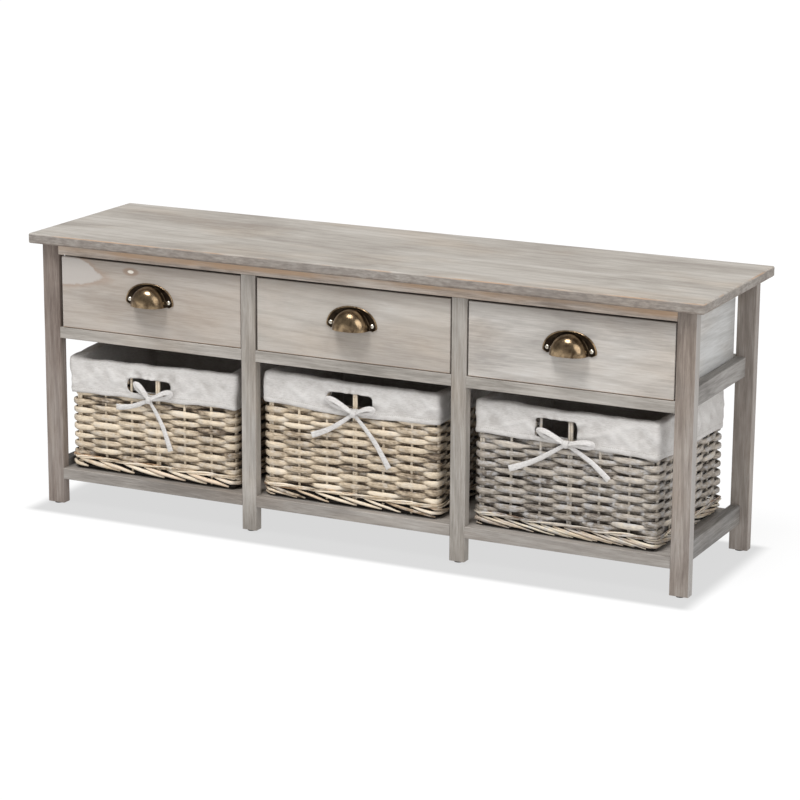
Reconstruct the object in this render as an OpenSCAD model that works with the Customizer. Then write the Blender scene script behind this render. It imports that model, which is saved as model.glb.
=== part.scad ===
// Entryway bench: a slatted frame with three drawers over three lined baskets.
// Units mm. +Z up, front towards -Y, origin on the floor under the middle of the bench.

/* [Overall] */
// width of the top board
bench_w = 1069.3; // [1069.3:0.1:1072]
// depth of the top board
bench_d = 289.6; // [288:0.1:292]
// height of the seat above the floor
bench_h = 419.1; // [419.1:0.1:424]

/* [Frame] */
// thickness of the top board
top_t = 15; // [12:0.5:15]
// overhang of the top board past the legs
overhang = 15; // [14:0.1:16]
// width of a corner leg across the bench
leg_w = 28; // [26:0.5:28]
// depth of every leg, post and front rail
leg_d = 16; // [15:0.5:16]
// width of a post between two bays
post_w = 23.5; // [20:0.5:23.5]
// height of the front rail under the top board
top_rail_h = 15.9; // [14:0.1:15.9]
// height of the other front rails
rail_h = 17; // [15:0.5:17]
// height of the side rails and of the rear and divider middle rails
side_rail_h = 28.6; // [24:0.2:28.6]
// top of the front middle rails
mid_rail_top = 277.3; // [276:0.1:277.3]
// top of the front and rear bottom rails and of the shelf
shelf_top = 57; // [54:0.1:57]
// bevel along the edges of the sticks
ease = 0.8; // [0.2:0.1:1]

/* [Drawers] */
// height of a drawer front
front_h = 107.8; // [100:0.1:107.8]
// thickness of a drawer front
front_t = 16; // [14:0.5:16]
// thickness of the drawer sides and back
board_t = 12; // [9:0.5:12]
// thickness of a drawer bottom
bottom_t = 5; // [3:0.5:6]

/* [Baskets] */
// width of a basket body
basket_w = 286; // [270:1:288]
// depth of a basket body
basket_d = 237.5; // [210:0.5:240]
// thickness of the woven wall
wicker_t = 7; // [5:0.5:9]
// how far the foot border stands out
foot_out = 5; // [3:0.5:5]
// height of the foot border
foot_h = 20; // [14:1:24]

/* [Hidden] */
$fn = 96;

wood_dark = [0.50, 0.46, 0.42];
wood_light = [0.66, 0.63, 0.59];
metal = [0.45, 0.36, 0.22];
wicker = [0.66, 0.53, 0.38];
cloth = [0.90, 0.88, 0.84];

top_z = bench_h - top_t;                 // underside of the top board
leg_out = bench_w / 2 - overhang - 0.15; // outer face of the corner legs
leg_in = leg_out - leg_w;                // inner face of the corner legs
face_y = bench_d / 2 - overhang;         // front plane of the frame
in_y = face_y - leg_d;                   // back of the front rails
side_t = 15;                             // thickness of the side rails
bay_x = 168.7;                           // centre line of the posts
bay_in = bay_x - post_w / 2;             // posts' faces towards the centre bay
bay_out = bay_x + post_w / 2;            // posts' faces towards the outer bays
foot_z = 2;                              // thickness of a glide
post_z = 4;                              // the posts stop short of the floor
mid_z = 260.5;                           // underside of the side middle rails
low_z = 40.5;                            // underside of the side bottom rails
shelf_t = 9;
rest_y = 110;                            // back of a closed drawer
drawer_z = mid_rail_top + 0.9;           // underside of a drawer
side_h = 100;                            // height of the drawer sides
groove = 5;                              // depth of the groove for the drawer bottom
groove_z = drawer_z + 6;
divider_low_z = shelf_top - shelf_t - 12;  // under the shelf board
pull_z = 326;                            // lower edge of a cup pull
pull_r = 27;
pull_back = 3;                           // the cup's centre lies this far behind the face
pull_lift = 3.5;                         // and this far above its lower edge
plate_r = 41.8;
plate_t = 1.8;
screw_x = 33;
screw_z = pull_z + 7.5;
basket_y = 2.75;                         // middle of a basket, front to back
basket_z = shelf_top + 0.4;
basket_r = 10;
floor_t = 6;
cloth_t = 1.6;
skirt_t = 4.8;                           // the folded skirt, which puffs out
gap = 0.2;
skirt_y = basket_y - basket_d / 2 - gap - skirt_t; // front of the liner's skirt
pull_out = pull_r - pull_back - overhang;          // how far a pull stands out past the top board

// drawer: [left edge, right edge]
left_drawer = [-486.3, -181.4];
centre_drawer = [-153.7, 154.7];
right_drawer = [182.8, 489.6];
// basket: [middle, liner top, hem, hole left, hole right, hole bottom, hole top]
left_basket = [-339, 230, 178, -383, -308, 186, 209];
centre_basket = [-6.5, 243, 197, -47, 28, 205, 227];
right_basket = [331, 241, 191.5, 281, 345, 199, 227];
// bow: knot, loop ends and tail ends as [x, z]
left_bow = [[-343, 179], [-366, 202], [-303, 194], [-399, 163], [-306, 105]];
centre_bow = [[-1, 199], [-43, 217], [33, 208], [-68, 160], [57, 125]];
right_bow = [[330, 195], [288, 210], [373, 199], [244, 149], [397, 153]];

// a w by h rectangle from its corner, with its corners cut off by e
module cut_rect(w, h, e) {
    polygon([[e, 0], [w - e, 0], [w, e], [w, h - e], [w - e, h], [e, h], [0, h - e], [0, e]]);
}

// sticks along each axis, from corner a to corner b, bevelled along their length
module stick_x(a, b, e = ease) {
    translate([a[0], a[1], a[2]])
        rotate([90, 0, 90])
            linear_extrude(b[0] - a[0]) cut_rect(b[1] - a[1], b[2] - a[2], e);
}

module stick_y(a, b, e = ease) {
    translate([a[0], b[1], a[2]])
        rotate([90, 0, 0])
            linear_extrude(b[1] - a[1]) cut_rect(b[0] - a[0], b[2] - a[2], e);
}

module stick_z(a, b, e = ease) {
    translate([a[0], a[1], a[2]])
        linear_extrude(b[2] - a[2]) cut_rect(b[0] - a[0], b[1] - a[1], e);
}

// a board bevelled along all twelve edges
module board(a, b, e) {
    intersection() {
        stick_x(a, b, e);
        stick_y(a, b, e);
        stick_z(a, b, e);
    }
}

module box(a, b) {
    translate(a) cube(b - a);
}

module top_board() {
    color(wood_light)
        board([-bench_w / 2, -bench_d / 2, top_z], [bench_w / 2, bench_d / 2, bench_h], 2);
}

// a corner leg; sx and sy say which corner
module leg(sx, sy) {
    x0 = sx > 0 ? leg_in : -leg_out;
    y0 = sy > 0 ? in_y : -face_y;
    color(wood_dark) stick_z([x0, y0, foot_z], [x0 + leg_w, y0 + leg_d, top_z]);
}

module post(sx, sy) {
    x0 = sx * bay_x - post_w / 2;
    y0 = sy > 0 ? in_y : -face_y;
    z1 = sy > 0 ? top_z : top_z - top_rail_h;
    color(wood_dark) stick_z([x0, y0, post_z], [x0 + post_w, y0 + leg_d, z1]);
}

module front_top_rail() {
    color(wood_dark)
        stick_x([-leg_in, -face_y, top_z - top_rail_h], [leg_in, -in_y, top_z]);
}

// left and right ends of a bay between its legs and posts
function bay_lo(bay) = [-leg_in, -bay_in, bay_out][bay];
function bay_hi(bay) = [-bay_out, bay_in, leg_in][bay];

module front_rail(bay, z1) {
    color(wood_dark)
        stick_x([bay_lo(bay), -face_y, z1 - rail_h], [bay_hi(bay), -in_y, z1]);
}

module rear_rails(z0, height) {
    color(wood_dark)
        for (bay = [0:2])
            stick_x([bay_lo(bay), in_y, z0], [bay_hi(bay), face_y, z0 + height]);
}

module side_rail(sx, z0) {
    x0 = sx > 0 ? leg_in : -leg_in - side_t;
    color(wood_dark) stick_y([x0, -in_y, z0], [x0 + side_t, in_y, z0 + side_rail_h]);
}

module divider_rail(sx, z0, h) {
    x0 = sx * bay_x - post_w / 2;
    color(wood_dark) stick_y([x0, -in_y, z0], [x0 + post_w, in_y, z0 + h]);
}

module shelf_board() {
    color(wood_light)
        box([-leg_in, -in_y, shelf_top - shelf_t], [leg_in, in_y, shelf_top]);
}

module drawer_runners() {
    h = 15;
    w = 20;
    color(wood_light)
        for (x0 = [-leg_in, -bay_out - w, -bay_in, bay_in - w, bay_out, leg_in - w])
            stick_y([x0, -in_y, drawer_z - 0.4 - h], [x0 + w, in_y, drawer_z - 0.4], 0.5);
}

module drawer_stops() {
    color(wood_light)
        for (bay = [0:2])
            for (x = [bay_lo(bay) + 60, bay_hi(bay) - 60])
                box([x - 12, rest_y + 0.4, mid_z + 6.5], [x + 12, in_y, mid_z + side_rail_h - 1]);
}

module floor_glides() {
    r = 6.5;
    color([0.25, 0.23, 0.22])
        for (sx = [-1, 1])
            for (y = [-face_y + leg_d / 2, face_y - leg_d / 2]) {
                translate([sx * (leg_out - leg_w / 2), y, 0]) cylinder(h = foot_z, r = r);
                translate([sx * bay_x, y, post_z - foot_z]) cylinder(h = foot_z, r = r);
            }
}

function middle(d) = (d[0] + d[1]) / 2;

module drawer_bottom_panel(d, play) {
    box([d[0] + board_t - groove + play, -in_y - groove + play, groove_z],
        [d[1] - board_t + groove - play, rest_y - board_t + groove - play, groove_z + bottom_t]);
}

module drawer_front(d) {
    color(wood_light)
        difference() {
            board([d[0], -face_y, drawer_z], [d[1], -face_y + front_t, drawer_z + front_h], 1);
            drawer_bottom_panel(d, 0);
            for (s = [-1, 1])
                translate([middle(d) + s * screw_x, -face_y - 1, screw_z])
                    rotate([-90, 0, 0]) cylinder(h = 13, r = 1.6, $fn = 32);
        }
}

module drawer_side(d, sx) {
    x0 = sx < 0 ? d[0] : d[1] - board_t;
    color(wood_light)
        difference() {
            stick_y([x0, -face_y + front_t, drawer_z], [x0 + board_t, rest_y, drawer_z + side_h]);
            drawer_bottom_panel(d, 0);
        }
}

module drawer_back(d) {
    color(wood_light)
        difference() {
            stick_x([d[0] + board_t, rest_y - board_t, drawer_z],
                [d[1] - board_t, rest_y, drawer_z + side_h]);
            drawer_bottom_panel(d, 0);
        }
}

module drawer_bottom(d) {
    color(wood_light) drawer_bottom_panel(d, 0.1);
}

// a cup pull: a thin plate and a hollow quarter ball, open at the bottom
module pull(d) {
    color(metal)
        translate([middle(d), -face_y, 0])
            difference() {
                union() {
                    translate([0, 0, pull_z + 33.5 - plate_r])
                        rotate([90, 0, 0]) cylinder(h = plate_t, r = plate_r);
                    translate([0, pull_back, pull_z + pull_lift]) sphere(r = pull_r);
                }
                translate([0, pull_back, pull_z + pull_lift]) sphere(r = pull_r - 1.6);
                translate([-60, -60, pull_z - 60]) cube([120, 120, 60]);
                translate([-60, 0, pull_z - 60]) cube([120, 60, 120]);
                for (s = [-1, 1])
                    translate([s * screw_x, 1, screw_z])
                        rotate([90, 0, 0]) cylinder(h = 4, r = 1.8, $fn = 32);
            }
}

module pull_screws(d) {
    color([0.75, 0.72, 0.66])
        for (s = [-1, 1])
            translate([middle(d) + s * screw_x, -face_y - plate_t, screw_z]) {
                rotate([90, 0, 0]) cylinder(h = 1.6, r = 3.2, $fn = 48);
                rotate([-90, 0, 0]) cylinder(h = 13, r = 1.5, $fn = 32);
            }
}

// a w by d slab with round corners, centred in X and Y at a basket's middle
module round_slab(mid, w, d, r, z0, z1) {
    translate([mid, basket_y, z0]) {
        translate([-w / 2, -d / 2 + r, 0]) cube([w, d - 2 * r, z1 - z0]);
        translate([-w / 2 + r, -d / 2, 0]) cube([w - 2 * r, d, z1 - z0]);
        for (sx = [-1, 1])
            for (sy = [-1, 1])
                translate([sx * (w / 2 - r), sy * (d / 2 - r), 0]) cylinder(h = z1 - z0, r = r);
    }
}

// the finger hole through the front wall, made bigger all round by grow
module hole(b, grow) {
    r = (b[6] - b[5]) / 2 + grow;
    z = (b[5] + b[6]) / 2;
    y0 = skirt_y - 3;
    y1 = basket_y - basket_d / 2 + wicker_t + 4;
    for (x = [b[3] - grow + r, b[4] + grow - r])
        translate([x, y0, z]) rotate([-90, 0, 0]) cylinder(h = y1 - y0, r = r, $fn = 48);
    translate([b[3] - grow + r, y0, z - r]) cube([b[4] - b[3] + 2 * grow - 2 * r, y1 - y0, 2 * r]);
}

module basket(b) {
    color(wicker)
        difference() {
            union() {
                round_slab(b[0], basket_w, basket_d, basket_r, basket_z, b[1] - cloth_t - gap);
                round_slab(b[0], basket_w + 2 * foot_out, basket_d + 2 * foot_out,
                    basket_r + 2, basket_z, basket_z + foot_h);
            }
            round_slab(b[0], basket_w - 2 * wicker_t, basket_d - 2 * wicker_t,
                basket_r - wicker_t, basket_z + floor_t, b[1] + 5);
            hole(b, 0.5);
        }
}

module liner(b) {
    in_w = basket_w - 2 * (wicker_t + gap);
    in_d = basket_d - 2 * (wicker_t + gap);
    in_r = basket_r - wicker_t - gap;
    out = gap + skirt_t;
    color(cloth)
        difference() {
            union() {
                round_slab(b[0], in_w, in_d, in_r, basket_z + floor_t + gap, b[1]);
                difference() {
                    round_slab(b[0], basket_w + 2 * out, basket_d + 2 * out, basket_r + out,
                        b[2], b[1]);
                    round_slab(b[0], basket_w + 2 * gap, basket_d + 2 * gap, basket_r + gap,
                        b[2] - 1, b[1] - cloth_t);
                }
            }
            round_slab(b[0], in_w - 2 * cloth_t, in_d - 2 * cloth_t, in_r - cloth_t,
                basket_z + floor_t + gap + cloth_t, b[1] + 5);
            hole(b, 0);
        }
}

// a flat ring from the knot to the end of a loop
module loop(a, b) {
    length = norm(b - a) / 2;
    translate((a + b) / 2)
        rotate(atan2(b[1] - a[1], b[0] - a[0]))
            difference() {
                polygon([for (t = [0:15:345]) [length * cos(t), 10 * sin(t)]]);
                polygon([for (t = [0:15:345]) [(length - 4) * cos(t), 6 * sin(t)]]);
            }
}

module tail(a, b) {
    translate(a)
        rotate(atan2(b[1] - a[1], b[0] - a[0]))
            translate([0, -4.5]) square([norm(b - a), 9]);
}

module bow(k) {
    color([0.95, 0.94, 0.92])
        translate([0, skirt_y, 0])
            rotate([90, 0, 0]) {
                translate([0, 0, 3.5])
                    linear_extrude(2) {
                        loop(k[0], k[1]);
                        loop(k[0], k[2]);
                        tail(k[0], k[3]);
                        tail(k[0], k[4]);
                    }
                translate([k[0][0], k[0][1], 0.2]) cylinder(h = 6.8, r = 6, $fn = 32);
            }
}

// the bench and its pulls together are centred on the origin
module placed() {
    translate([0, pull_out / 2, 0]) children();
}

placed() top_board();
placed() leg(-1, -1);  // front_left_leg
placed() leg(1, -1);  // front_right_leg
placed() leg(-1, 1);  // rear_left_leg
placed() leg(1, 1);  // rear_right_leg
placed() post(-1, -1);  // front_left_post
placed() post(1, -1);  // front_right_post
placed() post(-1, 1);  // rear_left_post
placed() post(1, 1);  // rear_right_post
placed() front_top_rail();
placed() front_rail(0, mid_rail_top);  // front_mid_rail_left
placed() front_rail(1, mid_rail_top);  // front_mid_rail_centre
placed() front_rail(2, mid_rail_top);  // front_mid_rail_right
placed() front_rail(0, shelf_top);  // front_bottom_rail_left
placed() front_rail(1, shelf_top);  // front_bottom_rail_centre
placed() front_rail(2, shelf_top);  // front_bottom_rail_right
placed() rear_rails(mid_z, side_rail_h);  // rear_mid_rails
placed() rear_rails(low_z, shelf_top - low_z);  // rear_bottom_rails
placed() side_rail(-1, mid_z);  // side_mid_rail_left
placed() side_rail(1, mid_z);  // side_mid_rail_right
placed() side_rail(-1, low_z);  // side_bottom_rail_left
placed() side_rail(1, low_z);  // side_bottom_rail_right
placed() divider_rail(-1, mid_z, side_rail_h);  // divider_mid_rail_left
placed() divider_rail(1, mid_z, side_rail_h);  // divider_mid_rail_right
placed() divider_rail(-1, divider_low_z, 12);  // divider_bottom_rail_left
placed() divider_rail(1, divider_low_z, 12);  // divider_bottom_rail_right
placed() shelf_board();
placed() drawer_runners();
placed() drawer_stops();
placed() floor_glides();
placed() drawer_front(left_drawer);  // left_drawer_front
placed() drawer_side(left_drawer, -1);  // left_drawer_left_side
placed() drawer_side(left_drawer, 1);  // left_drawer_right_side
placed() drawer_back(left_drawer);  // left_drawer_back
placed() drawer_bottom(left_drawer);  // left_drawer_bottom
placed() pull(left_drawer);  // left_drawer_pull
placed() pull_screws(left_drawer);  // left_drawer_pull_screws
placed() drawer_front(centre_drawer);  // centre_drawer_front
placed() drawer_side(centre_drawer, -1);  // centre_drawer_left_side
placed() drawer_side(centre_drawer, 1);  // centre_drawer_right_side
placed() drawer_back(centre_drawer);  // centre_drawer_back
placed() drawer_bottom(centre_drawer);  // centre_drawer_bottom
placed() pull(centre_drawer);  // centre_drawer_pull
placed() pull_screws(centre_drawer);  // centre_drawer_pull_screws
placed() drawer_front(right_drawer);  // right_drawer_front
placed() drawer_side(right_drawer, -1);  // right_drawer_left_side
placed() drawer_side(right_drawer, 1);  // right_drawer_right_side
placed() drawer_back(right_drawer);  // right_drawer_back
placed() drawer_bottom(right_drawer);  // right_drawer_bottom
placed() pull(right_drawer);  // right_drawer_pull
placed() pull_screws(right_drawer);  // right_drawer_pull_screws
placed() basket(left_basket);
placed() liner(left_basket);  // left_basket_liner
placed() bow(left_bow);  // left_basket_bow
placed() basket(centre_basket);
placed() liner(centre_basket);  // centre_basket_liner
placed() bow(centre_bow);  // centre_basket_bow
placed() basket(right_basket);
placed() liner(right_basket);  // right_basket_liner
placed() bow(right_bow);  // right_basket_bow
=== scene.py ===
"""Entryway bench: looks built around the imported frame. Metres, front towards -Y."""

import math
import random

import bpy
from mathutils import Matrix, Vector, noise


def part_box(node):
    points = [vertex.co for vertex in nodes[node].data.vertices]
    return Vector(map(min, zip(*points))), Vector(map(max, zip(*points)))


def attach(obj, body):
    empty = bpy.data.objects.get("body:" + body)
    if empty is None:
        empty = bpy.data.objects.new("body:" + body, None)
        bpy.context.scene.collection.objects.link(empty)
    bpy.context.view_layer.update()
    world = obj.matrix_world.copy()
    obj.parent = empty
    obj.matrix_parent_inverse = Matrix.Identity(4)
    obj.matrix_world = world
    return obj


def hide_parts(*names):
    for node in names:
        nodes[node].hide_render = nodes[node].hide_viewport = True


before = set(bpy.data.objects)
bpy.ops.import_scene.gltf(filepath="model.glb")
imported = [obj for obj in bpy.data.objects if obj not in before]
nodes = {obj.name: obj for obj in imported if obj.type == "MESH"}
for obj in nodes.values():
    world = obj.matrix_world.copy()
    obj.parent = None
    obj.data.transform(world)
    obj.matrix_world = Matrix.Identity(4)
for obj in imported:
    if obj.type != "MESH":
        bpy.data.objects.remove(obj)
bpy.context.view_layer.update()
scene = bpy.context.scene
MM = 0.001
SIDES = ("left", "centre", "right")
UP = Vector((0, 0, 1))


# ---- camera

def make_camera():
    """The view of the bench: a long lens, front and right side, slightly from above."""
    az, el, roll = (math.radians(a) for a in (26.005, 14.267, 0.380))
    back = Vector((math.sin(az) * math.cos(el), -math.cos(az) * math.cos(el), math.sin(el)))
    right = (-back).cross(UP).normalized()
    up = right.cross(-back)
    x_axis = right * math.cos(roll) + up * math.sin(roll)
    y_axis = up * math.cos(roll) - right * math.sin(roll)
    data = bpy.data.cameras.new("camera")
    data.lens = 126.253
    data.sensor_width = 36
    data.clip_end = 100
    cam = bpy.data.objects.new("camera", data)
    scene.collection.objects.link(cam)
    m = Matrix((x_axis, y_axis, back)).transposed().to_4x4()
    m.translation = Vector((1.77088, -3.59651, 1.21293))
    cam.matrix_world = m
    scene.camera = cam


make_camera()


# ---- node helpers

def rgb(r, g, b):
    """A display colour, 0 to 255, as a linear one."""
    out = []
    for c in (r, g, b):
        c /= 255
        out.append(c / 12.92 if c <= 0.04045 else ((c + 0.055) / 1.055) ** 2.4)
    return (*out, 1)


class Nodes:
    """A short way to write a material's node tree."""

    def __init__(self, name):
        self.mat = bpy.data.materials.new(name)
        self.mat.use_nodes = True
        self.tree = self.mat.node_tree
        self.tree.nodes.clear()
        self.out = self.tree.nodes.new("ShaderNodeOutputMaterial")
        self.bsdf = self.tree.nodes.new("ShaderNodeBsdfPrincipled")
        self.link(self.bsdf.outputs[0], self.out.inputs[0])

    def link(self, a, b):
        self.tree.links.new(a, b)

    def node(self, kind, **values):
        n = self.tree.nodes.new("ShaderNode" + kind)
        for k, v in values.items():
            if hasattr(n, k):
                setattr(n, k, v)
            else:
                self.put(n.inputs[k.replace("_", " ")], v)
        return n

    def put(self, socket, v):
        if isinstance(v, bpy.types.NodeSocket):
            self.link(v, socket)
        else:
            socket.default_value = v

    def coords(self, scale=(1, 1, 1), offset=(0, 0, 0)):
        tc = self.node("TexCoord")
        return self.node("Mapping", Vector=tc.outputs["Object"], Location=offset,
                         Scale=scale).outputs[0]

    def noise(self, vec, scale, detail=3.0, rough=0.55, distortion=0.0):
        return self.node("TexNoise", Vector=vec, Scale=scale, Detail=detail, Roughness=rough,
                         Distortion=distortion).outputs["Fac"]

    def math(self, op, a, b=0.0, c=None):
        n = self.node("Math", operation=op)
        self.put(n.inputs[0], a)
        self.put(n.inputs[1], b)
        if c is not None:
            self.put(n.inputs[2], c)
        return n.outputs[0]

    def step(self, value, lo, hi):
        """0 below lo, 1 above hi."""
        return self.node("MapRange", interpolation_type="SMOOTHSTEP", Value=value,
                         From_Min=lo, From_Max=hi).outputs[0]

    def drop(self, value, lo, hi):
        """1 below lo, 0 above hi."""
        return self.math("SUBTRACT", 1.0, self.step(value, lo, hi))

    def ramp(self, fac, *stops):
        """Maps fac through (position, colour) stops."""
        n = self.node("ValToRGB")
        els = n.color_ramp.elements
        while len(els) < len(stops):
            els.new(0.5)
        for e, (p, c) in zip(els, stops):
            e.position = p
            e.color = c if hasattr(c, "__len__") else (c, c, c, 1)
        self.link(fac, n.inputs[0])
        return n.outputs[0]

    def mix(self, fac, a, b, blend="MIX"):
        n = self.node("Mix", data_type="RGBA", blend_type=blend)
        self.put(n.inputs[0], fac)
        self.put(n.inputs[6], a)
        self.put(n.inputs[7], b)
        return n.outputs[2]

    def bump(self, height, strength, distance):
        n = self.node("Bump", Strength=strength, Distance=distance, Height=height)
        self.surface(Normal=n.outputs[0])

    def position(self):
        """The x, y and z of the point that is shaded."""
        tc = self.node("TexCoord")
        return self.node("SeparateXYZ", Vector=tc.outputs["Object"]).outputs

    def attribute(self, name):
        return self.node("Attribute", attribute_name=name).outputs["Fac"]

    def surface(self, **values):
        """Sets or links sockets of the shader."""
        for k, v in values.items():
            self.put(self.bsdf.inputs[k.replace("_", " ")], v)


# ---- wood

WARM = (1.0, 0.92, 0.84, 1)
TAN = rgb(176, 138, 104)
# shares of the bands, the streaks, the fine grain and the wash in the wood's pattern
EVEN = (0.16, 0.12, 0.34, 0.38)
QUIET = (0.12, 0.05, 0.33, 0.50)
# heights in metres
TOP_UNDERSIDE, TOP_FACE = 0.4050, 0.4190
FRONT_BOTTOM, FRONT_TOP = 0.2785, 0.3858


def drawn_out(axis, factor):
    """Texture scales that draw the pattern out along one axis."""
    return tuple(factor if a == axis else 1.0 for a in "xyz")


def wood(name, grain, dark, mid, light, shift=0.0, contrast=1.0, extra=None, parts=EVEN):
    """Grey-washed pine with its grain along an axis; shift moves the pattern from wood to wood."""
    n = Nodes(name)
    move = (shift, shift * 0.7, shift * 1.3)
    long = n.coords(drawn_out(grain, 0.06), move)
    hair = n.coords(drawn_out(grain, 0.05), move)
    bands = n.noise(long, 24, 2.0, 0.5, 0.4)
    streaks = n.noise(long, 130, 4.0, 0.65, 0.2)
    fine = n.noise(hair, 520, 4.0, 0.75)
    wash = n.noise(n.coords(drawn_out(grain, 0.35), move), 13, 4.0, 0.6, 0.6)
    fac = n.math("MULTIPLY_ADD", bands, parts[0], n.math("MULTIPLY", streaks, parts[1]))
    fac = n.math("MULTIPLY_ADD", fine, parts[2], fac)
    fac = n.math("MULTIPLY_ADD", wash, parts[3], fac)
    c = 0.10 / contrast
    colour = n.ramp(fac, (0.5 - c, dark), (0.5, mid), (0.5 + c, light))
    pores = n.ramp(n.noise(hair, 300, 3.0, 0.6), (0.60, 0.0), (0.68, 1.0))
    colour = n.mix(n.math("MULTIPLY", pores, 0.25), colour, dark)
    rings = n.node("TexWave", wave_type="BANDS", bands_direction="DIAGONAL",
                   Vector=n.coords(drawn_out(grain, 0.09), move),
                   Scale=26, Distortion=7, Detail=2, Detail_Scale=0.6)
    late = n.ramp(rings.outputs["Fac"], (0.72, 0.0), (0.97, 1.0))
    colour = n.mix(n.math("MULTIPLY", late, 0.30), colour, dark)
    warm = n.noise(n.coords(drawn_out(grain, 0.5), (1, shift, 4)), 9, 3.0, 0.6)
    colour = n.mix(n.ramp(warm, (0.50, 0.0), (0.68, 0.55)), colour,
                   n.mix(1.0, colour, WARM, "MULTIPLY"))
    speck = n.noise(n.coords(offset=move), 1100, 2.0, 0.6)
    colour = n.mix(n.ramp(speck, (0.60, 0.0), (0.72, 0.30)), colour, dark)
    if extra:
        colour = extra(n, colour)
    n.surface(Base_Color=colour, Roughness=n.ramp(fac, (0.35, 0.66), (0.65, 0.52)),
              Specular_IOR_Level=0.3)
    n.bump(n.math("ADD", streaks, n.math("MULTIPLY", fine, 0.8)), 0.3, 0.0004)
    return n.mat


def top_extra(n, colour):
    """Darker, barer wood round the edges of the top board, with worn tan arrises."""
    z = n.position()[2]
    low = n.drop(z, TOP_FACE - 0.0025, TOP_FACE - 0.0005)
    rough = n.ramp(n.noise(n.coords((0.25, 0.25, 1)), 260, 4.0, 0.7), (0.38, 0.35), (0.62, 0.92))
    colour = n.mix(n.math("MULTIPLY", low, rough), colour, rgb(123, 115, 109))
    worn = n.math("MULTIPLY", n.drop(z, TOP_UNDERSIDE, TOP_UNDERSIDE + 0.0035), rough)
    colour = n.mix(n.math("MULTIPLY", worn, 0.5), colour, rgb(104, 84, 68))
    rim = n.math("MULTIPLY", n.step(z, TOP_FACE - 0.0022, TOP_FACE - 0.0014),
                 n.drop(z, TOP_FACE - 0.0009, TOP_FACE))
    patch = n.ramp(n.noise(n.coords((0.4, 1, 1)), 22, 2.0), (0.48, 0.0), (0.60, 1.0))
    return n.mix(n.math("MULTIPLY", n.math("MULTIPLY", rim, patch), 0.6), colour, TAN)


def rail_extra(n, colour):
    """Bare tan wood in patches along the upper half of the rail under the top."""
    z = n.position()[2]
    ragged = n.noise(n.coords((0.15, 1, 1), (5, 0, 0)), 60, 3.0, 0.6)
    patch = n.ramp(n.noise(n.coords((1, 0.1, 0.1), (2, 0, 0)), 7, 2.0), (0.40, 0.35), (0.58, 0.8))
    height = n.math("ADD", z, n.math("MULTIPLY", n.math("SUBTRACT", ragged, 0.5), 0.016))
    up = n.step(height, 0.3915, 0.3985)
    return n.mix(n.math("MULTIPLY", up, patch), colour, rgb(192, 160, 130))


def corner_painted_light(n, colour):
    """Painted light: the outer sides of the corner legs are painted lighter than their fronts,
    less so at the rear.
    """
    x, y, _ = n.position()
    rear = n.step(y, -0.05, 0.05)
    # painted light on the legs' outer sides
    side = n.math("MULTIPLY", n.step(n.math("ABSOLUTE", x), 0.5186, 0.5192),
                  n.math("MULTIPLY_ADD", rear, -0.45, 0.5))
    return n.mix(side, colour, rgb(186, 184, 182))


def front_extra(n, colour):
    """A drawer front: bare along its bottom edge, painted shadow from the top's overhang towards
    its top, and painted shade, dark, on its top edge.
    """
    z = n.position()[2]
    low = n.drop(z, FRONT_BOTTOM, FRONT_BOTTOM + 0.0013)
    colour = n.mix(n.math("MULTIPLY", low, 0.55), colour, TAN)
    # painted shadow of the top board's overhang: darker towards the top of the front
    shade = n.math("MULTIPLY", n.step(z, 0.364, 0.384), 0.42)
    colour = n.mix(shade, colour, rgb(112, 102, 93))
    # painted shade: the top edge is dark so that the gap under the rail reads black
    edge = n.math("MULTIPLY", n.step(z, FRONT_TOP - 0.0006, FRONT_TOP), 0.7)
    return n.mix(edge, colour, rgb(58, 48, 40))


def spot(n, cx, cz, rx, rz, lo, hi, warp=0.0, tilt=0.0, power=2.0):
    """1 inside an oval on the front plane, 0 outside; a power below 2 makes it pointed."""
    x, _, z = n.position()
    w = n.math("MULTIPLY", n.math("SUBTRACT", n.noise(n.coords(), 60, 2.0), 0.5), warp)
    right = n.math("SUBTRACT", x, cx)
    up = n.math("MULTIPLY_ADD", right, tilt, n.math("SUBTRACT", z, cz))
    dx = n.math("POWER", n.math("DIVIDE", n.math("ABSOLUTE", right), rx), power)
    dz = n.math("POWER", n.math("DIVIDE", n.math("ABSOLUTE", up), rz), power)
    d = n.math("POWER", n.math("ADD", dx, dz), 1 / power)
    return n.drop(n.math("ADD", d, w), lo, hi)


def left_front_extra(n, colour):
    """The left drawer front has a pale tongue of sapwood and a small knot."""
    colour = front_extra(n, colour)
    place, ragged, slope, pointed = (-0.496, 0.3706), 0.3, 0.12, 1.4
    edge = spot(n, *place, 0.088, 0.0285, 0.90, 1.22, ragged, slope, pointed)
    tongue = spot(n, *place, 0.086, 0.0278, 0.90, 1.00, ragged, slope, pointed)
    colour = n.mix(n.math("MULTIPLY", edge, 0.5), colour, rgb(158, 134, 116))
    colour = n.mix(n.math("MULTIPLY", tongue, 0.85), colour, rgb(186, 181, 176))
    knot = (-0.366, 0.3735)
    ring = spot(n, *knot, 0.012, 0.0052, 0.8, 1.4)
    colour = n.mix(n.math("MULTIPLY", ring, 0.6), colour, rgb(138, 112, 92))
    return n.mix(spot(n, *knot, 0.006, 0.0029, 0.7, 1.0), colour, rgb(224, 218, 208))


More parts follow.
